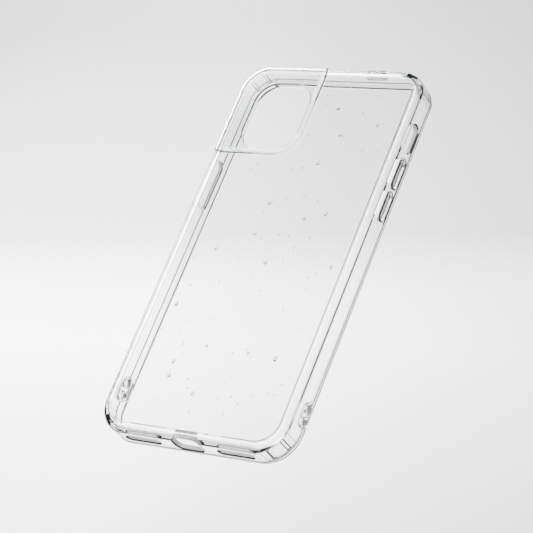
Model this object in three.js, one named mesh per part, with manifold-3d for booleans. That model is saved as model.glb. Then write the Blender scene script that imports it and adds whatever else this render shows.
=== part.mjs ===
// A clear protective case for a phone, as a hybrid of a hard back plate and a soft bumper.
// Millimetres, +Z up. The case lies on its front lip, so +Z is the outside of the back,
// +Y is the end with the camera cut-out and +X is the side with the volume buttons.
// The origin is under the middle of the case, on the plane that the front lip rests on.
import * as THREE from 'three';
import { mergeVertices } from 'three/addons/utils/BufferGeometryUtils.js';
import Module from 'manifold-3d';

const wasm = await Module();
wasm.setup();

// The phone that the case is made for.
const phone = { width: 77.6, length: 157.8, thickness: 8.3, cornerRadius: 10.1 };

// The shell round it.
const fitGap = 0.2; // between the phone and the case, on every side
const wall = 2.0;
const lipHeight = 1.3;
const lipReach = 1.0; // how far the front lip reaches in over the glass
const backThickness = 1.6;
const flangeReach = 1.5; // how far the bumper reaches in round the back plate
const backEdgeRadius = 2.4;
const lipEdgeRadius = 0.8;

// Clearances between pieces.
const pieceGap = 0.3;
const seatGap = 0.1;

// The camera cut-out and the raised guard round it, from the outer walls.
const camera = { width: 25.4, length: 30.2, cornerRadius: 9, fromSide: 10.3, fromTop: 9.1 };
const guard = { rise: 0.9, innerRim: 2.4, sleeve: 0.9, edgeInset: 2.8, edgeRadius: 0.4 };

// Buttons: a cap that stands in a window of the wall, held from inside by a wider flange.
// Each row of buttons is placed by its middle, from the outside of the top wall.
const button = {
  belowMiddle: 0.5, capHeight: 3.8, proud: 0.3, flangeMargin: 0.5, flangeThickness: 0.4, skin: 0.5,
};
const power = { fromTop: 53.5, length: 20.5, scoopDepth: 0.4 };
const volume = { fromTop: 49.9, length: 12.6, scoopDepth: 0.5 };
const scoopMargin = 0.9; // round the button caps

// Openings in the walls, as rounded slots. Heights are from the middle of the phone's thickness,
// and places along a wall are from the case's middle unless they say from the top.
const silenceSlot = { fromTop: 27.6, aboveMiddle: 0, length: 11.8, height: 4.6 };
const portSlot = { along: 0, aboveMiddle: 1, length: 12, height: 7.6, cornerRadius: 3 };
const speakerSlot = { along: 20.5, aboveMiddle: -0.1, length: 15, height: 2.8 };
const topVent = { along: 16, aboveMiddle: -0.1, length: 8, height: 1 };

// The barred lanyard eyelets, one low on each side wall, from the bottom wall and the rest plane.
const eyelet = {
  fromBottom: 19.3, aboveRest: 3.7, length: 10, height: 5.2, rim: 0.8, bar: 1, proud: 0.3,
};

// The shock cushions in the four inner corners, each with two upright grooves.
const cushion = {
  thickness: 0.8, sweep: 62, endMargin: 0.9, grooveAngle: 15, grooveWidth: 0.9, grooveDepth: 0.4,
};

// Flats per quarter turn: of the case's own corners, of slots, and of rounded edges.
const cornerSteps = 8;
const slotSteps = 4;
const backEdgeSteps = 3;
const smallEdgeSteps = 2;
const cutMargin = 1; // how far a cutting solid runs past the face that it cuts
const quarterTurn = Math.PI / 2;

// Sizes that follow from those.
const outer = {
  width: phone.width + 2 * (fitGap + wall),
  length: phone.length + 2 * (fitGap + wall),
  radius: phone.cornerRadius + fitGap + wall,
};
const cavityBottom = lipHeight;
const cavityTop = lipHeight + phone.thickness + fitGap;
const backTop = cavityTop + backThickness;
const phoneMiddle = (cavityBottom + cavityTop) / 2;
const buttonZ = phoneMiddle - button.belowMiddle;
const cushionBottom = cavityBottom + cushion.endMargin;
const cushionTop = cavityTop - cushion.endMargin;
const volumeSpacing = volume.length + 2 * button.flangeMargin + pieceGap;
const sideX = outer.width / 2;
const endY = outer.length / 2;
const powerY = endY - power.fromTop;
const volumeY = endY - volume.fromTop;
const eyeletY = -endY + eyelet.fromBottom;
const cameraCentre = {
  x: -sideX + camera.fromSide + camera.width / 2,
  y: endY - camera.fromTop - camera.length / 2,
};

// A rectangle with round corners, centred, or a slot where the radius is half the height.
function roundedRectangle(width, length, radius) {
  const shape = new THREE.Shape();
  const x = width / 2 - radius;
  const y = length / 2 - radius;
  shape.absarc(x, y, radius, 0, quarterTurn);
  shape.absarc(-x, y, radius, quarterTurn, 2 * quarterTurn);
  shape.absarc(-x, -y, radius, 2 * quarterTurn, 3 * quarterTurn);
  shape.absarc(x, -y, radius, 3 * quarterTurn, 4 * quarterTurn);
  shape.closePath();
  return shape;
}

// The case's outline, moved in by an inset.
function caseOutline(inset) {
  return roundedRectangle(outer.width - 2 * inset, outer.length - 2 * inset, outer.radius - inset);
}

function toManifold(geometry) {
  const bare = geometry.index ? geometry.toNonIndexed() : geometry;
  bare.deleteAttribute('normal');
  bare.deleteAttribute('uv');
  const merged = mergeVertices(bare, 1e-4);
  const mesh = new wasm.Mesh({
    numProp: 3,
    vertProperties: new Float32Array(merged.attributes.position.array),
    triVerts: new Uint32Array(merged.index.array),
  });
  return new wasm.Manifold(mesh);
}

function toGeometry(solid) {
  const mesh = solid.getMesh();
  const geometry = new THREE.BufferGeometry();
  geometry.setAttribute('position', new THREE.BufferAttribute(new Float32Array(mesh.vertProperties), 3));
  geometry.setIndex(new THREE.BufferAttribute(new Uint32Array(mesh.triVerts), 1));
  geometry.computeVertexNormals();
  return geometry;
}

// An upright prism of an outline, between two heights.
function prism(outline, bottom, top) {
  const geometry = new THREE.ExtrudeGeometry(outline, {
    depth: top - bottom, bevelEnabled: false, curveSegments: cornerSteps,
  });
  geometry.translate(0, 0, bottom);
  return toManifold(geometry);
}

// A prism whose top and bottom edges are rounded. The outline is the one at the flat ends.
function softPrism(outline, bottom, top, radius, steps) {
  const geometry = new THREE.ExtrudeGeometry(outline, {
    depth: top - bottom - 2 * radius,
    bevelEnabled: true,
    bevelThickness: radius,
    bevelSize: radius,
    bevelSegments: steps,
    curveSegments: cornerSteps,
  });
  geometry.translate(0, 0, bottom + radius);
  return toManifold(geometry);
}

// A prism of an outline drawn on a wall, seen from outside: it runs from one depth in the
// wall to another, measured inwards from the outer face. The turn says which wall it is.
const walls = {
  right: { turn: quarterTurn, distance: sideX },
  top: { turn: 2 * quarterTurn, distance: endY },
  left: { turn: -quarterTurn, distance: sideX },
  bottom: { turn: 0, distance: endY },
};

function wallPrism(side, outline, along, height, outside, inside) {
  const { turn, distance } = walls[side];
  const geometry = new THREE.ExtrudeGeometry(outline, {
    depth: inside - outside, bevelEnabled: false, curveSegments: slotSteps,
  });
  // Drawn upright in the XZ plane with its depth along +Y, at the bottom wall.
  geometry.rotateX(quarterTurn);
  geometry.translate(0, inside - outside, 0);
  geometry.translate(0, outside - distance, height);
  geometry.rotateZ(turn);
  const offset = side === 'right' || side === 'left' ? [0, along, 0] : [along, 0, 0];
  geometry.translate(...offset);
  return toManifold(geometry);
}

function slotOutline(length, height, radius = height / 2) {
  return roundedRectangle(length, height, radius);
}

// A slot that goes right through a wall.
function wallSlot(side, slot, along) {
  const outline = slotOutline(slot.length, slot.height, slot.cornerRadius);
  return wallPrism(side, outline, along, phoneMiddle + slot.aboveMiddle, -cutMargin, wall + cutMargin);
}

// The room that one button needs in its wall: the window for its cap and, behind the skin,
// the pocket for its flange.
function buttonRoom(side, centreY, length, scoopDepth) {
  const window = slotOutline(length + 2 * pieceGap, button.capHeight + 2 * pieceGap);
  const margin = 2 * (pieceGap + button.flangeMargin);
  const pocket = slotOutline(length + margin, button.capHeight + margin);
  return wallPrism(side, window, centreY, buttonZ, -cutMargin, wall + cutMargin)
    .add(wallPrism(side, pocket, centreY, buttonZ, scoopDepth + button.skin, wall + cutMargin));
}

// The shallow scoop in the outer face round one or more button caps.
function buttonScoop(side, centreY, length, depth) {
  const outline = slotOutline(length + 2 * scoopMargin, button.capHeight + 2 * scoopMargin);
  return wallPrism(side, outline, centreY, buttonZ, -cutMargin, depth);
}

function buttonSolid(side, centreY, length, scoopDepth) {
  const flangeFront = scoopDepth + button.skin + seatGap;
  const flangeBack = flangeFront + button.flangeThickness;
  const cap = slotOutline(length, button.capHeight);
  const flange = slotOutline(length + 2 * button.flangeMargin, button.capHeight + 2 * button.flangeMargin);
  return wallPrism(side, cap, centreY, buttonZ, -button.proud, flangeBack)
    .add(wallPrism(side, flange, centreY, buttonZ, flangeFront, flangeBack));
}

// A pad bent round a corner of the cavity, between two radii about the corner's own centre.
const corners = {
  bottom_right: { x: 1, y: -1, facing: -45 },
  bottom_left: { x: -1, y: -1, facing: -135 },
  top_right: { x: 1, y: 1, facing: 45 },
  top_left: { x: -1, y: 1, facing: 135 },
};

function cornerArc(corner, sweep, innerRadius, outerRadius, bottom, top, turnBy = 0) {
  const half = THREE.MathUtils.degToRad(sweep / 2);
  const middle = THREE.MathUtils.degToRad(corner.facing + turnBy);
  const shape = new THREE.Shape();
  shape.absarc(0, 0, outerRadius, middle - half, middle + half);
  shape.absarc(0, 0, innerRadius, middle + half, middle - half, true);
  shape.closePath();
  const solid = prism(shape, bottom, top);
  return solid.translate([
    corner.x * (sideX - outer.radius), corner.y * (endY - outer.radius), 0,
  ]);
}

const cavityRadius = outer.radius - wall;
const cushionPocketMargin = THREE.MathUtils.radToDeg(pieceGap / cavityRadius) * 2;

function cushionPocket(corner) {
  return cornerArc(
    corner, cushion.sweep + cushionPocketMargin, cavityRadius - cutMargin,
    cavityRadius + cushion.thickness + pieceGap, cushionBottom - pieceGap, cushionTop + pieceGap,
  );
}

function cushionSolid(corner) {
  const grooveSweep = THREE.MathUtils.radToDeg(cushion.grooveWidth / cavityRadius);
  let solid = cornerArc(
    corner, cushion.sweep, cavityRadius, cavityRadius + cushion.thickness, cushionBottom, cushionTop,
  );
  for (const side of [-1, 1]) {
    solid = solid.subtract(cornerArc(
      corner, grooveSweep, cavityRadius + cushion.thickness - cushion.grooveDepth,
      cavityRadius + cushion.thickness + cutMargin, cushionBottom - cutMargin, cushionTop + cutMargin,
      side * cushion.grooveAngle,
    ));
  }
  return solid;
}

function bumperFrame() {
  const topRounded = softPrism(
    caseOutline(backEdgeRadius), -backEdgeRadius - cutMargin, backTop, backEdgeRadius, backEdgeSteps,
  );
  const bottomRounded = softPrism(
    caseOutline(lipEdgeRadius), 0, backTop + lipEdgeRadius + cutMargin, lipEdgeRadius, smallEdgeSteps,
  );
  let solid = topRounded.intersect(bottomRounded)
    .subtract(prism(caseOutline(wall), cavityBottom, cavityTop))
    .subtract(prism(caseOutline(wall + lipReach), -cutMargin, cavityBottom + cutMargin))
    .subtract(prism(caseOutline(wall + flangeReach), cavityTop - cutMargin, backTop + cutMargin));
  const cuts = [
    wallSlot('right', silenceSlot, endY - silenceSlot.fromTop),
    wallSlot('bottom', portSlot, portSlot.along),
    wallSlot('bottom', speakerSlot, speakerSlot.along),
    wallSlot('bottom', speakerSlot, -speakerSlot.along),
    wallSlot('top', topVent, topVent.along),
    buttonScoop('left', powerY, power.length, power.scoopDepth),
    buttonScoop('right', volumeY, volumeSpacing + volume.length, volume.scoopDepth),
    buttonRoom('left', powerY, power.length, power.scoopDepth),
    buttonRoom('right', volumeY + volumeSpacing / 2, volume.length, volume.scoopDepth),
    buttonRoom('right', volumeY - volumeSpacing / 2, volume.length, volume.scoopDepth),
    eyeletHole('left'),
    eyeletHole('right'),
    ...Object.values(corners).map(cushionPocket),
  ];
  for (const cut of cuts) {
    solid = solid.subtract(cut);
  }
  return solid;
}

function cameraOutline(margin) {
  return roundedRectangle(
    camera.width + 2 * margin, camera.length + 2 * margin, camera.cornerRadius + margin,
  );
}

function backPlate() {
  const plate = prism(caseOutline(wall + flangeReach + pieceGap), cavityTop, backTop);
  const hole = prism(cameraOutline(guard.sleeve + pieceGap), cavityTop - cutMargin, backTop + cutMargin)
    .translate([cameraCentre.x, cameraCentre.y, 0]);
  return plate.subtract(hole);
}

// The guard's flat rim covers the back from the cut-out to near the case's own corner, and its
// sleeve lines the hole in the back plate.
function cameraGuard() {
  const rimBottom = backTop + seatGap;
  const rimTop = backTop + guard.rise;
  const left = -sideX + guard.edgeInset;
  const right = cameraCentre.x + camera.width / 2 + guard.innerRim;
  const top = endY - guard.edgeInset;
  const bottom = cameraCentre.y - camera.length / 2 - guard.innerRim;
  const radius = outer.radius - guard.edgeInset;
  const soft = guard.edgeRadius;
  const outline = roundedRectangle(right - left - 2 * soft, top - bottom - 2 * soft, radius - soft);
  const rim = softPrism(outline, rimBottom - soft, rimTop, soft, smallEdgeSteps)
    .translate([(left + right) / 2, (top + bottom) / 2, 0])
    .subtract(prism(caseOutline(0), rimBottom - 2 * soft, rimBottom));
  const sleeve = prism(cameraOutline(guard.sleeve), cavityTop, rimBottom + seatGap)
    .translate([cameraCentre.x, cameraCentre.y, 0]);
  const opening = prism(cameraOutline(0), cavityTop - cutMargin, rimTop + cutMargin)
    .translate([cameraCentre.x, cameraCentre.y, 0]);
  return rim.add(sleeve).subtract(opening);
}

function eyeletHole(side) {
  const outline = slotOutline(eyelet.length + 2 * pieceGap, eyelet.height + 2 * pieceGap);
  return wallPrism(side, outline, eyeletY, eyelet.aboveRest, -cutMargin, wall + cutMargin);
}

// The eyelet is a slot-shaped ring with an upright bar across its middle, for a loop of cord.
function lanyardEyelet(side) {
  const ring = wallPrism(
    side, slotOutline(eyelet.length, eyelet.height), eyeletY, eyelet.aboveRest, -eyelet.proud, wall,
  );
  const bore = wallPrism(
    side, slotOutline(eyelet.length - 2 * eyelet.rim, eyelet.height - 2 * eyelet.rim),
    eyeletY, eyelet.aboveRest, -cutMargin, wall + cutMargin,
  );
  const barOutline = new THREE.Shape([
    new THREE.Vector2(-eyelet.bar / 2, -eyelet.height / 2 + eyelet.rim / 2),
    new THREE.Vector2(eyelet.bar / 2, -eyelet.height / 2 + eyelet.rim / 2),
    new THREE.Vector2(eyelet.bar / 2, eyelet.height / 2 - eyelet.rim / 2),
    new THREE.Vector2(-eyelet.bar / 2, eyelet.height / 2 - eyelet.rim / 2),
  ]);
  const bar = wallPrism(side, barOutline, eyeletY, eyelet.aboveRest, 0, wall);
  return ring.subtract(bore).add(bar);
}

const softClear = new THREE.MeshStandardMaterial({
  color: 0xf1f3f3, roughness: 0.12, metalness: 0, transparent: true, opacity: 0.35,
});
const hardClear = new THREE.MeshStandardMaterial({
  color: 0xf6f8f8, roughness: 0.05, metalness: 0, transparent: true, opacity: 0.25,
});

const phoneCase = new THREE.Group();

function addPiece(name, solid, material) {
  const mesh = new THREE.Mesh(toGeometry(solid), material.clone());
  mesh.name = name;
  phoneCase.add(mesh);
}

addPiece('bumper_frame', bumperFrame(), softClear);
addPiece('back_plate', backPlate(), hardClear);
addPiece('camera_guard', cameraGuard(), softClear);
addPiece('power_button', buttonSolid('left', powerY, power.length, power.scoopDepth), softClear);
addPiece(
  'volume_up_button',
  buttonSolid('right', volumeY + volumeSpacing / 2, volume.length, volume.scoopDepth), softClear,
);
addPiece(
  'volume_down_button',
  buttonSolid('right', volumeY - volumeSpacing / 2, volume.length, volume.scoopDepth), softClear,
);
for (const [name, corner] of Object.entries(corners)) {
  addPiece(`corner_cushion_${name}`, cushionSolid(corner), softClear);
}
for (const side of ['left', 'right']) {
  addPiece(`lanyard_eyelet_${side}`, lanyardEyelet(side), softClear);
}

export default phoneCase;
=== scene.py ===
"""A clear phone case: a hard clear back plate in a soft clear bumper, with sprung button
covers, corner cushions and barred lanyard eyelets. It lies on its front lip, back up."""

import math
import random

import bmesh
import bpy
from mathutils import Matrix, Vector


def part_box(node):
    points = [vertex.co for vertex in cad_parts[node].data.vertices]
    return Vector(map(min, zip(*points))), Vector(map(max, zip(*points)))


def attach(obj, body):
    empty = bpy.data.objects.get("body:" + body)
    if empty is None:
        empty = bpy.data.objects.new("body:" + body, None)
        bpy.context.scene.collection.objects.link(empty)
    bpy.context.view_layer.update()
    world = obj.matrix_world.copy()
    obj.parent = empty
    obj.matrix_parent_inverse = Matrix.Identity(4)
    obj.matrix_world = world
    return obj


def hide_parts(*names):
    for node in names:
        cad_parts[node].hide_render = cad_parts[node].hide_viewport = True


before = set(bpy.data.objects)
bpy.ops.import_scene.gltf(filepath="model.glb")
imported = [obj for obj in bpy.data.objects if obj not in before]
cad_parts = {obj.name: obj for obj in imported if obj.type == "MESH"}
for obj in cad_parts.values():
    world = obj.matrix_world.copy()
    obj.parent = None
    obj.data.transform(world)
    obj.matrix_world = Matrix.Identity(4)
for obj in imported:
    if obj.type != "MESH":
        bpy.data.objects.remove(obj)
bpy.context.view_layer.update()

MM = 0.001

# ---------------------------------------------------------------- sizes, in metres

_, bumper_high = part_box("bumper_frame")
plate_low, plate_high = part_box("back_plate")
_, guard_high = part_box("camera_guard")

HALF_WIDTH = bumper_high.x
HALF_LENGTH = bumper_high.y
BACK_TOP = bumper_high.z
CAVITY_TOP = plate_low.z
PLATE_INSET = HALF_WIDTH - plate_high.x

WALL = 2.0 * MM
CORNER_RADIUS = 12.3 * MM
LIP_HEIGHT = 1.5 * MM
LIP_REACH = 1.0 * MM
BACK_EDGE_RADIUS = 2.7 * MM
LIP_EDGE_RADIUS = 0.86 * MM
LIP_INNER_RADIUS = 0.6 * MM
INSIDE_FILLET = 1.4 * MM
SEAM = 0.04 * MM

CORNER_STEPS = 28
ROUND_STEPS = 10
SLOT_STEPS = 12
MERGE_GAP = 0.001 * MM
UPRIGHT = 0.5  # a face whose normal has less height than this stands upright
NEARLY = 0.999  # keeps the last edge of a full round from closing to nothing


# ---------------------------------------------------------------- shader maths


class Sum:
    """A shader socket that takes part in Python sums: each operator adds its Math node."""

    def __init__(self, tree, socket):
        self.tree = tree
        self.socket = socket

    def _math(self, operation, *values):
        node = self.tree.make("ShaderNodeMath", {"operation": operation}, values)
        return Sum(self.tree, node.outputs[0])

    def __add__(self, other):
        return self._math("ADD", self, other)

    def __mul__(self, other):
        return self._math("MULTIPLY", self, other)

    def __truediv__(self, other):
        return self._math("DIVIDE", self, other)

    __radd__ = __add__
    __rmul__ = __mul__


class Tree:
    """A material's or world's node tree, emptied, with one method that makes a node."""

    def __init__(self, owner):
        owner.use_nodes = True
        self.nodes = owner.node_tree.nodes
        self.links = owner.node_tree.links
        self.nodes.clear()

    def make(self, kind, settings=None, inputs=()):
        node = self.nodes.new(kind)
        for name, value in (settings or {}).items():
            if name == "stops":
                self.set_stops(node.color_ramp.elements, value)
            else:
                setattr(node, name, value)
        pairs = inputs.items() if isinstance(inputs, dict) else enumerate(inputs)
        for key, value in pairs:
            if isinstance(value, Sum):
                value = value.socket
            if isinstance(value, bpy.types.NodeSocket):
                self.links.new(value, node.inputs[key])
            else:
                node.inputs[key].default_value = value
        return node

    @staticmethod
    def set_stops(elements, stops):
        while len(elements) < len(stops):
            elements.new(1.0)
        for element, (position, colour) in zip(elements, stops):
            element.position = position
            element.color = colour

    def value(self, node, output=0):
        return Sum(self, node.outputs[output])


# ---------------------------------------------------------------- materials


def clear_plastic(name, tint, roughness, ior, waviness, rim, clearness=1.0):
    """Clear mouldings: glass-like face on, mixed toward a near-black shader where the surface
    turns edge-on to the view: a painted dark rim of shade."""
    material = bpy.data.materials.new(name)
    tree = Tree(material)
    place = tree.make("ShaderNodeTexCoord")
    waves = tree.make("ShaderNodeTexNoise", None, {
        "Vector": place.outputs["Object"], "Scale": 60.0, "Detail": 2.0,
    })
    bump = tree.make("ShaderNodeBump", None, {
        "Strength": waviness, "Distance": 0.0002, "Height": waves.outputs[0],
    })
    body = tree.make("ShaderNodeBsdfPrincipled", None, {
        "Base Color": (*tint, 1.0),
        "Roughness": roughness,
        "IOR": ior,
        "Transmission Weight": clearness,
        "Specular IOR Level": 0.5 * clearness,
        "Normal": bump.outputs[0],
    })
    # Near-black shader: painted shade for the dark rims, mixed in by viewing angle.
    dark = tree.make("ShaderNodeBsdfPrincipled", None, {
        "Base Color": (0.012, 0.013, 0.013, 1.0),
        "Roughness": 0.3,
        "Specular IOR Level": 0.1,
    })
    # Layer Weight's facing sets how much painted rim shade is mixed in.
    facing = tree.make("ShaderNodeLayerWeight", None, {"Blend": 0.5}).outputs["Facing"]
    edge_on = tree.make("ShaderNodeMapRange", {"interpolation_type": "SMOOTHSTEP"}, {
        "Value": facing, "From Min": rim[0], "From Max": rim[1], "To Max": rim[2],
    })
    mix = tree.make("ShaderNodeMixShader", None, [
        edge_on.outputs[0], body.outputs[0], dark.outputs[0],
    ])
    depth = tree.make("ShaderNodeVolumeAbsorption", None, {
        "Color": (0.55, 0.6, 0.6, 1.0), "Density": HAZE,
    })
    tree.make("ShaderNodeOutputMaterial", None, {
        "Surface": mix.outputs[0], "Volume": depth.outputs[0],
    })
    return material


HAZE = 60.0
# Where the floor's painted pool of light and painted shade lie, and how far they run.
FLOOR_TURN = math.radians(5.2)
PAINTED_LIGHT_POOL_CENTRE = (-110 * MM, 80 * MM, 0)
PAINTED_LIGHT_POOL_RADIUS = 230 * MM
PAINTED_LIGHT_POOL_FADE = 330 * MM
PAINTED_SHADE_LENGTH = 300 * MM


def floor_painted_light_and_shade():
    """Painted light and shade on the floor: a painted pool of light brightest below the middle,
    painted shade greyer toward the far side and one side, near-black beyond the pool.
    """
    material = bpy.data.materials.new("floor_painted_light_and_shade")
    tree = Tree(material)
    place = tree.make("ShaderNodeTexCoord").outputs["Object"]
    away = tree.make("ShaderNodeVectorMath", {"operation": "DISTANCE"}, [place, PAINTED_LIGHT_POOL_CENTRE])
    fade = tree.make("ShaderNodeMapRange", {"interpolation_type": "SMOOTHSTEP"}, {
        "Value": away.outputs["Value"], "From Min": PAINTED_LIGHT_POOL_RADIUS, "From Max": PAINTED_LIGHT_POOL_RADIUS + PAINTED_LIGHT_POOL_FADE,
    })
    turned = tree.make("ShaderNodeMapping", {"vector_type": "TEXTURE"}, {
        "Vector": place, "Location": PAINTED_LIGHT_POOL_CENTRE, "Rotation": (0, 0, FLOOR_TURN),
    })
    up = tree.value(tree.make("ShaderNodeSeparateXYZ", None, [turned.outputs[0]]), 1)
    # Painted shade along the floor: lightest in a band below the middle, greyer both ways.
    sweep = tree.make("ShaderNodeValToRGB", {"stops": [
        (0.0, (0.5, 0.5, 0.5, 1.0)),
        (0.22, (0.72, 0.72, 0.72, 1.0)),
        (0.36, (0.88, 0.88, 0.88, 1.0)),
        (0.46, (0.8, 0.8, 0.8, 1.0)),
        (0.56, (0.46, 0.46, 0.46, 1.0)),
        (1.0, (0.28, 0.28, 0.28, 1.0)),
    ]}, [(up / PAINTED_SHADE_LENGTH) + 0.5])
    across = tree.value(tree.make("ShaderNodeSeparateXYZ", None, [turned.outputs[0]]), 0)
    # Painted shade that greys the floor toward one side.
    painted_side_shade = tree.make("ShaderNodeValToRGB", {"stops": [
        (0.0, (1.0, 1.0, 1.0, 1.0)), (0.3, (0.98, 0.98, 0.98, 1.0)),
        (0.55, (0.78, 0.78, 0.78, 1.0)), (1.0, (0.5, 0.5, 0.5, 1.0)),
    ]}, [(across / PAINTED_SHADE_LENGTH) + 0.5])
    painted_floor_shading = tree.make("ShaderNodeMix", {"data_type": "RGBA", "blend_type": "MULTIPLY"}, {
        0: 1.0, 6: sweep.outputs[0], 7: painted_side_shade.outputs[0],
    })
    # Past the painted pool of light the floor turns near-black: painted shade.
    colour = tree.make("ShaderNodeMix", {"data_type": "RGBA"}, {
        0: fade.outputs[0], 6: painted_floor_shading.outputs[2], 7: (0.04, 0.04, 0.04, 1.0),
    })
    shader = tree.make("ShaderNodeBsdfPrincipled", None, {
        "Base Color": colour.outputs[2], "Roughness": 0.9, "Specular IOR Level": 0.1,
    })
    tree.make("ShaderNodeOutputMaterial", None, {"Surface": shader.outputs[0]})
    return material


# Cut faces: frosted for real, with a greyer tint that is painted shade for the openings' dark
# outlines.
CUT_PAINTED_SHADE_TINT = (0.86, 0.87, 0.87)
# Near-black and opaque: painted shade for grooves, the steps round openings and button sides.
GROOVE_PAINTED_SHADE = (0.02, 0.02, 0.02)

# How far the surface has turned edge-on where its painted dark rim of shade starts and is full, and
# its strength.
PLAIN_PAINTED_RIM = (0.74, 1.0, 0.9)
BUTTON_PAINTED_RIM = (0.7, 1.0, 0.9)
BUBBLE_PAINTED_RIM = (0.12, 0.5, 0.93)

WHITE_TINT = (0.985, 0.99, 0.99)
SOFT_TINT = (0.98, 0.985, 0.985)

# Every clear finish below mixes in painted dark rim shade; on the air bubbles it is strongest and
# paints their dark rings.
hard_clear = clear_plastic("hard_clear_plastic", WHITE_TINT, 0.0, 1.5, 0.0, PLAIN_PAINTED_RIM)
soft_clear = clear_plastic("soft_clear_plastic", SOFT_TINT, 0.01, 1.48, 0.02, PLAIN_PAINTED_RIM)
button_clear = clear_plastic("button_plastic", SOFT_TINT, 0.02, 1.48, 0.03, BUTTON_PAINTED_RIM)
bubble_clear = clear_plastic("air_bubble", WHITE_TINT, 0.0, 1.4, 0.0, BUBBLE_PAINTED_RIM)
# Frosted cut faces with a greyer painted shade.
frosted_shaded_cut = clear_plastic("frosted_cut_face_painted_shade", CUT_PAINTED_SHADE_TINT, 0.2, 1.48, 0.0, PLAIN_PAINTED_RIM, 0.75)
# Painted near-black shade for grooves, steps and button sides.
painted_shade_groove = clear_plastic("shaded_groove", GROOVE_PAINTED_SHADE, 0.4, 1.48, 0.0, PLAIN_PAINTED_RIM, 0.0)

# ---------------------------------------------------------------- mesh tools


def arc_points(centre, radius, start, end, steps):
    """Points of an arc in a flat outline, in degrees, both ends included."""
    angles = [math.radians(start + (end - start) * step / steps) for step in range(steps + 1)]
    return [(centre[0] + radius * math.cos(a), centre[1] + radius * math.sin(a)) for a in angles]


def sweep_round_case(profile, steps=CORNER_STEPS):
    """A closed profile of (depth in from the outer face, height) points, carried round the
    case: straight along each wall and spun about each corner."""
    mesh = bmesh.new()
    straight = Vector((2 * (HALF_WIDTH - CORNER_RADIUS), 2 * (HALF_LENGTH - CORNER_RADIUS), 0))
    verts = [
        mesh.verts.new((HALF_WIDTH - depth, -straight.y / 2, height)) for depth, height in profile
    ]
    edges = [mesh.edges.new((verts[i - 1], verts[i])) for i in range(len(verts))]
    corner = [(1, 1), (-1, 1), (-1, -1), (1, -1)]
    runs = [(0, straight.y, 0), (-straight.x, 0, 0), (0, -straight.y, 0), (straight.x, 0, 0)]
    for (sx, sy), run in zip(corner, runs):
        made = bmesh.ops.extrude_edge_only(mesh, edges=edges)["geom"]
        moved = [part for part in made if isinstance(part, bmesh.types.BMVert)]
        bmesh.ops.translate(mesh, verts=moved, vec=run)
        edges = [part for part in made if isinstance(part, bmesh.types.BMEdge)]
        made = bmesh.ops.spin(
            mesh, geom=edges + moved, cent=(sx * straight.x / 2, sy * straight.y / 2, 0),
            axis=(0, 0, 1), angle=math.pi / 2, steps=steps, use_merge=False, use_duplicate=False,
        )["geom_last"]
        edges = [part for part in made if isinstance(part, bmesh.types.BMEdge)]
    bmesh.ops.remove_doubles(mesh, verts=mesh.verts, dist=MERGE_GAP)
    bmesh.ops.recalc_face_normals(mesh, faces=mesh.faces)
    return mesh


def rounded_face(mesh, width, length, radius, steps):
    """A flat face with four round corners, centred on the origin, facing up."""
    made = bmesh.ops.create_circle(mesh, cap_ends=True, radius=radius, segments=4 * steps)
    turn = Matrix.Rotation(math.pi / (4 * steps), 3, "Z")
    bmesh.ops.rotate(mesh, verts=made["verts"], cent=(0, 0, 0), matrix=turn)
    for vert in made["verts"]:
        vert.co.x += math.copysign(width / 2 - radius, vert.co.x)
        vert.co.y += math.copysign(length / 2 - radius, vert.co.y)
    return made["verts"]


def rounded_block(
    width, length, radius, bottom, top, steps=SLOT_STEPS, edge=0.0, edge_steps=3,
):
    """An upright block of a rounded face, with its top and bottom edges rounded if asked."""
    mesh = bmesh.new()
    rounded_face(mesh, width, length, radius, steps)
    bmesh.ops.translate(mesh, verts=mesh.verts, vec=(0, 0, bottom))
    made = bmesh.ops.extrude_face_region(mesh, geom=mesh.faces[:], use_keep_orig=True)["geom"]
    raised = [part for part in made if isinstance(part, bmesh.types.BMVert)]
    bmesh.ops.translate(mesh, verts=raised, vec=(0, 0, top - bottom))
    bmesh.ops.recalc_face_normals(mesh, faces=mesh.faces)
    if edge:
        flat = [e for e in mesh.edges if abs(e.verts[0].co.z - e.verts[1].co.z) < edge * 0.01]
        bmesh.ops.bevel(
            mesh, geom=flat, offset=edge, offset_type="OFFSET", segments=edge_steps,
            profile=0.5, affect="EDGES", material=-1, clamp_overlap=True,
        )
    return mesh


def to_object(mesh, name, material):
    """Makes the bmesh an object of the scene, in one material if given."""
    data = bpy.data.meshes.new(name)
    mesh.to_mesh(data)
    mesh.free()
    thing = bpy.data.objects.new(name, data)
    bpy.context.scene.collection.objects.link(thing)
    if material:
        data.materials.append(material)
    return thing


def apply_modifiers(thing):
    """Puts the result of the thing's modifiers in its mesh."""
    graph = bpy.context.evaluated_depsgraph_get()
    data = bpy.data.meshes.new_from_object(thing.evaluated_get(graph))
    old = thing.data
    thing.modifiers.clear()
    thing.data = data
    name = old.name
    bpy.data.meshes.remove(old)
    data.name = name


def cut(thing, cutters, face_material=None, operation="DIFFERENCE"):
    """Cuts the thing with each cutter, a bmesh, and gives the new faces a material if asked; the ones
    given here carry painted shade.
    """
    for number, cutter in enumerate(cutters):
        tool = to_object(cutter, f"cutter_{number}", face_material)
        step = thing.modifiers.new("cut", "BOOLEAN")
        step.material_mode = "TRANSFER" if face_material else "INDEX"
        step.operation = operation
        step.solver = "EXACT"
        step.object = tool
        apply_modifiers(thing)
        data = tool.data
        bpy.data.objects.remove(tool)
        bpy.data.meshes.remove(data)


def smooth(thing, angle=30.0):
    """Smooth shading that leaves large flat faces flat."""
    thing.data.shade_smooth()
    thing.data.set_sharp_from_angle(angle=math.radians(angle))
    step = thing.modifiers.new("flat_faces_first", "WEIGHTED_NORMAL")
    step.keep_sharp = True
    step.weight = 100
    apply_modifiers(thing)


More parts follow.
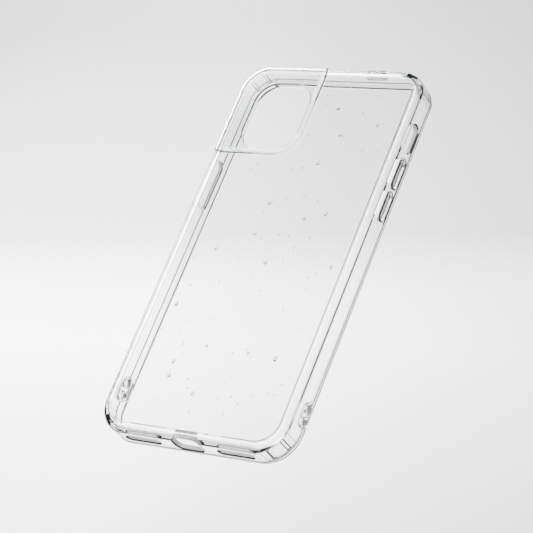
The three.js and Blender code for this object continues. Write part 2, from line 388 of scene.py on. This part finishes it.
def finish_piece(thing, body, slot, *nodes):
    """Says which body the thing rides and hides the CAD pieces it stands for; its material slot is not
    used.
    """
    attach(thing, body)
    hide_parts(*nodes)


# ---------------------------------------------------------------- wall tools

# Each wall: the way along it, the way out of it, and how far out its face is.
WALLS = {
    "right": ((0, 1, 0), (1, 0, 0), HALF_WIDTH),
    "left": ((0, -1, 0), (-1, 0, 0), HALF_WIDTH),
    "top": ((-1, 0, 0), (0, 1, 0), HALF_LENGTH),
    "bottom": ((1, 0, 0), (0, -1, 0), HALF_LENGTH),
}
UP = Vector((0, 0, 1))


def stand_in_wall(mesh, side, place):
    """Turns what was drawn flat so that its top faces out of a wall, at a place on the wall."""
    along, out, distance = WALLS[side]
    along, out = Vector(along), Vector(out)
    spot = out * distance + along * along.dot(place) + UP * place.z
    turn = Matrix((along, UP, out)).transposed().to_4x4()
    bmesh.ops.transform(mesh, verts=mesh.verts, matrix=Matrix.Translation(spot) @ turn)
    return mesh


def wall_slot(side, place, length, height, inside, outside, radius=None, edge=0.0):
    """A slot-shaped block across a wall, from a depth inside its face to a height outside."""
    radius = height / 2 if radius is None else radius
    block = rounded_block(length, height, radius * NEARLY, -inside, outside, edge=edge)
    return stand_in_wall(block, side, Vector(place))


def span(node):
    """The middle and the size of a CAD piece."""
    low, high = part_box(node)
    return (low + high) / 2, high - low


# ---------------------------------------------------------------- sizes of what is in the walls

PHONE_MIDDLE = (LIP_HEIGHT + CAVITY_TOP) / 2
THROUGH = 2 * WALL
SKIN = 0.5 * MM
FLANGE_MARGIN = 0.5 * MM
FLANGE_THICKNESS = 0.4 * MM
WINDOW_GAP = 0.2 * MM
SCOOP_MARGIN = 0.9 * MM
REBATE = 0.55 * MM
OUTLINE = 0.55 * MM
REBATE_DEPTH = 0.45 * MM
HOLE_GAP = 0.06 * MM
SOFT_EDGE = 0.3 * MM
POWER_SCOOP = 0.4 * MM
VOLUME_SCOOP = 0.5 * MM

# Slots right through a wall: side, along, above the phone's middle, length, height, radius.
SLOTS = [
    ("right", (0, 53.5 * MM, PHONE_MIDDLE), 11.8 * MM, 4.6 * MM, 2.3 * MM),
    ("bottom", (0, 0, PHONE_MIDDLE + 1.0 * MM), 12.0 * MM, 7.6 * MM, 3.0 * MM),
    ("bottom", (20.5 * MM, 0, PHONE_MIDDLE - 0.1 * MM), 15.0 * MM, 2.8 * MM, 1.4 * MM),
    ("bottom", (-20.5 * MM, 0, PHONE_MIDDLE - 0.1 * MM), 15.0 * MM, 2.8 * MM, 1.4 * MM),
    ("top", (16.0 * MM, 0, PHONE_MIDDLE - 0.1 * MM), 8.0 * MM, 1.0 * MM, 0.5 * MM),
]

# Buttons: name, wall, scoop depth, body.
BUTTONS = [
    ("power_button", "left", POWER_SCOOP, "power"),
    ("volume_up_button", "right", VOLUME_SCOOP, "volume_up"),
    ("volume_down_button", "right", VOLUME_SCOOP, "volume_down"),
]

# ---------------------------------------------------------------- the shell


def bumper_profile():
    """The wall's section: a thin grip groove over the front lip, the inner face, the flange
    round the plate, and the rounded back edge with a shallow line where it meets the flat."""
    flange = PLATE_INSET - SEAM
    lip = WALL + LIP_REACH
    radius = LIP_EDGE_RADIUS
    points = [(GRIP_DEPTH, GRIP_HEIGHT + GRIP_WIDTH / 2), (0, GRIP_HEIGHT)]
    points += arc_points((radius, radius), radius, 180, 270, ROUND_STEPS)
    radius = LIP_INNER_RADIUS
    points += arc_points((lip - radius, radius), radius, 270, 360, 6)
    points += arc_points((lip - radius, LIP_HEIGHT - radius), radius, 0, 90, 6)
    points += [(WALL, LIP_HEIGHT)]
    radius = INSIDE_FILLET
    points += arc_points((WALL + radius, CAVITY_TOP - radius), radius, 180, 90, ROUND_STEPS)
    points += [(flange, CAVITY_TOP), (flange, BACK_TOP)]
    radius = BACK_EDGE_RADIUS
    for step in range(BACK_STEPS + 1):
        turn = 90 * step / BACK_STEPS
        dip = LINE_DEPTH * max(0, 1 - abs(turn - LINE_TURN) / LINE_SPREAD)
        points += arc_points((radius, BACK_TOP - radius), radius - dip, 90 + turn, 0, 1)[:1]
    points += [(0, GRIP_HEIGHT + GRIP_WIDTH)]
    return points


BACK_STEPS = 36
LINE_DEPTH = 0.24 * MM
LINE_TURN = 2.0
LINE_SPREAD = 10.0
GRIP_HEIGHT = 2.1 * MM
GRIP_WIDTH = 0.75 * MM
GRIP_DEPTH = 0.45 * MM


def paint_grip_line_shade(thing):
    """The faces of the grip groove take painted near-black shade."""
    thing.data.materials.append(painted_shade_groove)
    last = len(thing.data.materials) - 1
    middle = GRIP_HEIGHT + GRIP_WIDTH / 2
    for face in thing.data.polygons:
        if abs(face.center.z - middle) < GRIP_WIDTH / 2 and abs(face.normal.z) > UPRIGHT * 0.8:
            face.material_index = last


def bumper_openings():
    """What goes right through the walls."""
    for side, place, length, height, radius in SLOTS:
        yield wall_slot(side, place, length, height, THROUGH, THROUGH, radius)
    for name, side, *_ in BUTTONS:
        middle, size = span(name)
        shrink = 2 * (FLANGE_MARGIN - WINDOW_GAP)
        yield wall_slot(side, middle, size.y - shrink, size.z - shrink, THROUGH, THROUGH)
    for side in ("left", "right"):
        middle, size = span(f"lanyard_eyelet_{side}")
        yield wall_slot(
            side, middle, size.y + 2 * HOLE_GAP, size.z + 2 * HOLE_GAP, THROUGH, THROUGH,
        )


def bumper_rims():
    """A fine step round each opening's outer edge, whose faces take painted near-black shade that
    shows as its dark outline.
    """
    for side, place, length, height, radius in SLOTS:
        grow = 2 * OUTLINE
        yield wall_slot(
            side, place, length + grow, height + grow, OUTLINE, THROUGH, radius + OUTLINE,
        )


def bumper_recesses():
    """What goes part of the way: rebates, the scoops round buttons, and inside pockets."""
    side, place, length, height, radius = SLOTS[0]
    yield wall_slot(
        side, place, length + 2 * REBATE, height + 2 * REBATE, REBATE_DEPTH, THROUGH,
        radius + REBATE,
    )
    volume = [span(name) for name, *_ in BUTTONS[1:]]
    reach = max(m.y + s.y / 2 for m, s in volume) - min(m.y - s.y / 2 for m, s in volume)
    middle = (volume[0][0] + volume[1][0]) / 2
    margin = SCOOP_MARGIN - FLANGE_MARGIN
    height = volume[0][1].z + 2 * margin
    yield wall_slot("right", middle, reach + 2 * margin, height, VOLUME_SCOOP, THROUGH, edge=SOFT_EDGE)
    middle, size = span("power_button")
    yield wall_slot(
        "left", middle, size.y + 2 * margin, size.z + 2 * margin, POWER_SCOOP, THROUGH,
        edge=SOFT_EDGE,
    )
    for name, side, scoop, _ in BUTTONS:
        middle, size = span(name)
        length = size.y + 2 * WINDOW_GAP
        height = size.z + 2 * WINDOW_GAP
        yield wall_slot(side, middle, length, height, THROUGH, -(scoop + SKIN))
    for x, y in CORNERS.values():
        yield corner_pad(x, y, POCKET_SWEEP, HOLE_GAP)


# Each corner: which way it lies along the width and along the length.
CORNERS = {
    "bottom_right": (1, -1),
    "bottom_left": (-1, -1),
    "top_right": (1, 1),
    "top_left": (-1, 1),
}
CUSHION_THICKNESS = 0.8 * MM
CUSHION_SWEEP = 62
CUSHION_MARGIN = 0.9 * MM
POCKET_SWEEP = CUSHION_SWEEP + 1
GROOVE_ANGLE = 15
GROOVE_WIDTH = 1.8 * MM
CAVITY_RADIUS = CORNER_RADIUS - WALL


def corner_pad(x, y, sweep, grow=0.0):
    """A pad bent round the inside of a corner."""
    mesh = bmesh.new()
    low, high = LIP_HEIGHT + CUSHION_MARGIN - grow, CAVITY_TOP - CUSHION_MARGIN + grow
    inner, outer = CAVITY_RADIUS - (grow * 8), CAVITY_RADIUS + CUSHION_THICKNESS + grow
    facing = math.radians(45 if x * y > 0 else -45) + (math.pi if x < 0 else 0)
    begin = facing - math.radians(sweep) / 2
    corners = [(inner, low), (outer, low), (outer, high), (inner, high)]
    verts = [mesh.verts.new((r * math.cos(begin), r * math.sin(begin), z)) for r, z in corners]
    face = mesh.faces.new(verts)
    bmesh.ops.spin(
        mesh, geom=[face], cent=(0, 0, 0), axis=(0, 0, 1), angle=math.radians(sweep),
        steps=20, use_merge=False, use_duplicate=False,
    )
    bmesh.ops.remove_doubles(mesh, verts=mesh.verts, dist=MERGE_GAP)
    bmesh.ops.recalc_face_normals(mesh, faces=mesh.faces)
    centre = (x * (HALF_WIDTH - CORNER_RADIUS), y * (HALF_LENGTH - CORNER_RADIUS), 0)
    bmesh.ops.translate(mesh, verts=mesh.verts, vec=centre)
    return mesh


def groove(x, y, angle):
    """A round-bottomed upright groove in the outer face of a corner pad."""
    mesh = bmesh.new()
    height = CAVITY_TOP - LIP_HEIGHT
    bmesh.ops.create_cone(
        mesh, cap_ends=True, segments=16, radius1=GROOVE_WIDTH / 2, radius2=GROOVE_WIDTH / 2,
        depth=height,
    )
    facing = math.radians((45 if x * y > 0 else -45) + (180 if x < 0 else 0) + angle)
    reach = CAVITY_RADIUS + CUSHION_THICKNESS
    bmesh.ops.translate(mesh, verts=mesh.verts, vec=(
        x * (HALF_WIDTH - CORNER_RADIUS) + reach * math.cos(facing),
        y * (HALF_LENGTH - CORNER_RADIUS) + reach * math.sin(facing),
        LIP_HEIGHT + height / 2,
    ))
    return mesh


def make_bumper():
    thing = to_object(sweep_round_case(bumper_profile()), "clear_bumper", soft_clear)
    cut(thing, bumper_recesses())
    # The steps round the openings take painted near-black shade.
    cut(thing, bumper_rims(), painted_shade_groove)
    # The faces cut through the wall are frosted and take a greyer painted shade.
    cut(thing, bumper_openings(), frosted_shaded_cut)
    paint_grip_line_shade(thing)
    smooth(thing)
    finish_piece(thing, "shell", "clear_soft_plastic", "bumper_frame")


CUTOUT_WIDTH = 25.4 * MM
CUTOUT_LENGTH = 30.2 * MM
CUTOUT_RADIUS = 9.0 * MM
CUTOUT_MIDDLE = Vector((-18.0 * MM, 56.9 * MM, 0))


def camera_cutter():
    """A block that goes right through the back where the camera cut-out is."""
    block = rounded_block(
        CUTOUT_WIDTH, CUTOUT_LENGTH, CUTOUT_RADIUS, CAVITY_TOP - WALL, BACK_TOP + WALL,
        steps=CORNER_STEPS,
    )
    bmesh.ops.translate(block, verts=block.verts, vec=CUTOUT_MIDDLE)
    return block


def make_back_plate():
    inset = PLATE_INSET
    block = rounded_block(
        2 * (HALF_WIDTH - inset), 2 * (HALF_LENGTH - inset), CORNER_RADIUS - inset,
        CAVITY_TOP, BACK_TOP, steps=CORNER_STEPS,
    )
    thing = to_object(block, "clear_back_plate", hard_clear)
    cut(thing, [camera_cutter()])
    smooth(thing)
    finish_piece(thing, "shell", "clear_hard_plastic", "back_plate")


GUARD_RIM = 2.4 * MM
GUARD_SLOPE = 2.2 * MM
GUARD_OVERHANG = 5.0 * MM
GUARD_CORNER = 11.0 * MM
GUARD_SINK = 4 * GUARD_SLOPE
GUARD_SLOPE_SHARE = 0.98
GUARD_TOP = guard_high.z


def case_block(top, grow=0.0):
    """The case's own solid outline with its rounded back edge, up to a height."""
    return rounded_block(
        2 * (HALF_WIDTH + grow), 2 * (HALF_LENGTH + grow), CORNER_RADIUS + grow, 0, top,
        steps=CORNER_STEPS, edge=BACK_EDGE_RADIUS, edge_steps=2 * ROUND_STEPS,
    )


def make_camera_guard():
    """A low pad round the cut-out: it slopes down to the plate, covers the case's corner and
    follows the case's rounded edge."""
    left, top = -HALF_WIDTH - GUARD_OVERHANG, HALF_LENGTH + GUARD_OVERHANG
    right = CUTOUT_MIDDLE.x + CUTOUT_WIDTH / 2 + GUARD_RIM
    bottom = CUTOUT_MIDDLE.y - CUTOUT_LENGTH / 2 - GUARD_RIM
    flatten = (GUARD_TOP - BACK_TOP) / GUARD_SLOPE
    pad = rounded_block(
        right - left, top - bottom, GUARD_CORNER, -GUARD_SINK, 0,
        steps=CORNER_STEPS, edge=GUARD_SLOPE * GUARD_SLOPE_SHARE, edge_steps=6,
    )
    bmesh.ops.scale(pad, verts=pad.verts, vec=(1, 1, flatten))
    bmesh.ops.translate(
        pad, verts=pad.verts, vec=((left + right) / 2, (top + bottom) / 2, GUARD_TOP),
    )
    thing = to_object(pad, "camera_guard", soft_clear)
    cut(thing, [case_block(GUARD_TOP)], operation="INTERSECT")
    cut(thing, [case_block(BACK_TOP + SEAM, SEAM), camera_cutter()])
    smooth(thing)
    finish_piece(thing, "shell", "clear_soft_plastic", "camera_guard")


RIB_PITCH = 0.62 * MM
RIB_GAP = 0.26 * MM
RIB_DEPTH = 0.14 * MM
RIB_SHARE = 0.62
BUTTON_EDGE = 0.35 * MM
BUTTON_SEAT_GAP = 0.1 * MM


def highest_face(mesh):
    return max(mesh.faces, key=lambda face: face.calc_center_median().z)


def rib_cutter(length, height, top):
    """A comb of thin slots that leaves fine ribs across a button's face."""
    comb = bmesh.new()
    count = int((length - height) / RIB_PITCH)
    for number in range(count + 1):
        bmesh.ops.create_cube(comb, size=1.0, matrix=(
            Matrix.Translation(((number - count / 2) * RIB_PITCH, 0, top))
            @ Matrix.Diagonal((RIB_GAP, height * RIB_SHARE, 2 * RIB_DEPTH, 1.0))
        ))
    return comb


def make_button(name, side, scoop, body):
    """A button cover: a flange behind its window and a rounded cap with fine ribs."""
    middle, size = span(name)
    wide, tall = size.y, size.z
    length, height = wide - 2 * FLANGE_MARGIN, tall - 2 * FLANGE_MARGIN
    flange_front = scoop + SKIN + BUTTON_SEAT_GAP
    flange_back = flange_front + FLANGE_THICKNESS
    proud = size.x - flange_back
    mesh = rounded_block(wide, tall, tall / 2 * NEARLY, -flange_back, -flange_front)
    face = highest_face(mesh)
    bmesh.ops.inset_region(mesh, faces=[face], thickness=FLANGE_MARGIN, use_even_offset=True)
    face = highest_face(mesh)
    made = bmesh.ops.extrude_face_region(mesh, geom=[face])["geom"]
    raised = [part for part in made if isinstance(part, bmesh.types.BMVert)]
    # Upright side faces of the cap go in slot 1, painted near-black shade.
    for side_face in {face for vert in raised for face in vert.link_faces}:
        side_face.material_index = 1 if abs(side_face.normal.z) < UPRIGHT else 0
    bmesh.ops.translate(mesh, verts=raised, vec=(0, 0, flange_front + proud))
    face = highest_face(mesh)
    bmesh.ops.bevel(
        mesh, geom=face.edges[:], offset=BUTTON_EDGE, offset_type="OFFSET", segments=4,
        profile=0.5, affect="EDGES", material=-1, clamp_overlap=True,
    )
    bmesh.ops.recalc_face_normals(mesh, faces=mesh.faces)
    stand_in_wall(mesh, side, middle)
    comb = stand_in_wall(rib_cutter(length, height, proud), side, middle)
    thing = to_object(mesh, name, button_clear)
    thing.data.materials.append(painted_shade_groove)
    cut(thing, [comb])
    smooth(thing)
    finish_piece(thing, body, "clear_button_plastic", name)


def make_cushion(name, x, y):
    """A corner cushion with two upright grooves."""
    thing = to_object(corner_pad(x, y, CUSHION_SWEEP), f"corner_cushion_{name}", soft_clear)
    # The cushion grooves take painted near-black shade.
    cut(thing, [groove(x, y, side * GROOVE_ANGLE) for side in (-1, 1)], painted_shade_groove)
    smooth(thing)
    finish_piece(thing, "shell", "clear_soft_plastic", f"corner_cushion_{name}")


EYELET_RIM = 0.8 * MM
EYELET_BAR = 1.0 * MM


def make_eyelet(side):
    """A pill-shaped loop in a side wall with a bar across its middle."""
    name = f"lanyard_eyelet_{side}"
    middle, size = span(name)
    proud = size.x - WALL
    ring = wall_slot(side, middle, size.y, size.z, WALL, proud, edge=SOFT_EDGE)
    thing = to_object(ring, name, soft_clear)
    length = (size.y - 2 * EYELET_RIM - EYELET_BAR) / 2
    height = size.z - 2 * EYELET_RIM
    shift = (length + EYELET_BAR) / 2
    cut(thing, [
        wall_slot(
            side, middle + Vector((0, sign * shift, 0)), length, height, THROUGH, THROUGH,
            height / 2,
        )
        for sign in (-1, 1)
    ])
    smooth(thing)
    finish_piece(thing, "shell", "clear_soft_plastic", name)


BUBBLES = 110
BUBBLE_SEED = 11
LARGE_BUBBLE = (0.62 * MM, 0.85 * MM)
SMALL_BUBBLE = (0.24 * MM, 0.4 * MM)
LARGE_SHARE = 0.2
BUBBLE_STRETCH = 1.5
BUBBLE_FLATNESS = 0.8


def make_bubbles():
    """Tiny air bubbles caught in the back plate, a little longer along the case."""
    draw = random.Random(BUBBLE_SEED)
    mesh = bmesh.new()
    placed = 0
    while placed < BUBBLES:
        x = draw.uniform(-0.82, 0.82) * HALF_WIDTH
        y = draw.uniform(-0.88, 0.9) * HALF_LENGTH
        large = draw.random() < LARGE_SHARE
        radius = draw.uniform(*(LARGE_BUBBLE if large else SMALL_BUBBLE))
        stretch = draw.uniform(1.0, BUBBLE_STRETCH)
        near_x = abs(x - CUTOUT_MIDDLE.x) < CUTOUT_WIDTH / 2 + GUARD_RIM
        near_y = abs(y - CUTOUT_MIDDLE.y) < CUTOUT_LENGTH / 2 + GUARD_RIM
        if near_x and near_y:
            continue
        height = (CAVITY_TOP + BACK_TOP) / 2
        bmesh.ops.create_icosphere(mesh, subdivisions=2, radius=radius, matrix=(
            Matrix.Translation((x, y, height)) @ Matrix.Diagonal((1.0, stretch, BUBBLE_FLATNESS, 1.0))
        ))
        placed += 1
    thing = to_object(mesh, "air_bubbles", bubble_clear)
    smooth(thing, 180.0)
    finish_piece(thing, "shell", "clear_hard_plastic")


make_bumper()
make_back_plate()
make_camera_guard()
for button in BUTTONS:
    make_button(*button)
for name, (x, y) in CORNERS.items():
    make_cushion(name, x, y)
for side in ("left", "right"):
    make_eyelet(side)
make_bubbles()

# ---------------------------------------------------------------- stage, light and camera

FLOOR_DROP = 150 * MM
FLOOR_HALF = 6.0


def make_floor():
    mesh = bmesh.new()
    bmesh.ops.create_grid(mesh, x_segments=1, y_segments=1, size=FLOOR_HALF)
    bmesh.ops.translate(mesh, verts=mesh.verts, vec=(0, 0, -FLOOR_DROP))
    floor = to_object(mesh, "floor", floor_painted_light_and_shade())


# Softboxes on the studio dome: the way to each one, its inner and outer half-angle in degrees
# and its brightness.
SOFTBOXES = {
    "overhead": ((0.35, -0.25, 0.9), 38, 52, 15.0),
    "rim": ((-0.72, 0.56, 0.39), 14, 20, 150.0),
}
DOME_LOW = 0.12
DOME_HIGH = 0.2


def softbox(tree, way, direction, inner, outer, strength):
    """Light that fades from full at the inner angle to none at the outer one."""
    direction = Vector(direction).normalized()
    facing = tree.make("ShaderNodeVectorMath", {"operation": "DOT_PRODUCT"}, [way, direction])
    fade = tree.make("ShaderNodeMapRange", {"interpolation_type": "SMOOTHSTEP"}, {
        "Value": facing.outputs["Value"],
        "From Min": math.cos(math.radians(outer)),
        "From Max": math.cos(math.radians(inner)),
    })
    return tree.value(fade) * strength


def make_world():
    world = bpy.data.worlds.new("studio")
    bpy.context.scene.world = world
    tree = Tree(world)
    way = tree.make("ShaderNodeTexCoord").outputs["Generated"]
    height = tree.value(tree.make("ShaderNodeSeparateXYZ", None, [way]), 2)
    glow = height * (DOME_HIGH - DOME_LOW) + DOME_LOW
    for box in SOFTBOXES.values():
        glow = glow + softbox(tree, way, *box)
    light = tree.make("ShaderNodeBackground", None, {"Strength": glow})
    tree.make("ShaderNodeOutputWorld", None, {"Surface": light.outputs[0]})


CAMERA_AZIMUTH = math.radians(55.18)
CAMERA_ELEVATION = math.radians(46.38)
CAMERA_ROLL = math.radians(40.73)
CAMERA_DISTANCE = 0.78045
CAMERA_ASIDE = (-1.07 * MM, -4.72 * MM)
LENS = 142.5


def make_camera():
    centre = Vector((0, 0, BACK_TOP / 2))
    back = Vector((
        math.sin(CAMERA_AZIMUTH) * math.cos(CAMERA_ELEVATION),
        -math.cos(CAMERA_AZIMUTH) * math.cos(CAMERA_ELEVATION),
        math.sin(CAMERA_ELEVATION),
    ))
    level = Vector((0, 0, 1)).cross(back).normalized()
    upright = back.cross(level)
    right = level * math.cos(CAMERA_ROLL) - upright * math.sin(CAMERA_ROLL)
    up = level * math.sin(CAMERA_ROLL) + upright * math.cos(CAMERA_ROLL)
    data = bpy.data.cameras.new("camera")
    data.lens = LENS
    data.clip_start = 0.01
    data.clip_end = 50
    camera = bpy.data.objects.new("camera", data)
    bpy.context.scene.collection.objects.link(camera)
    turn = Matrix((right, up, back)).transposed()
    camera.matrix_world = Matrix.Translation(
        centre + back * CAMERA_DISTANCE + right * CAMERA_ASIDE[0] + up * CAMERA_ASIDE[1]
    ) @ turn.to_4x4()
    bpy.context.scene.camera = camera


make_floor()
make_world()
make_camera()
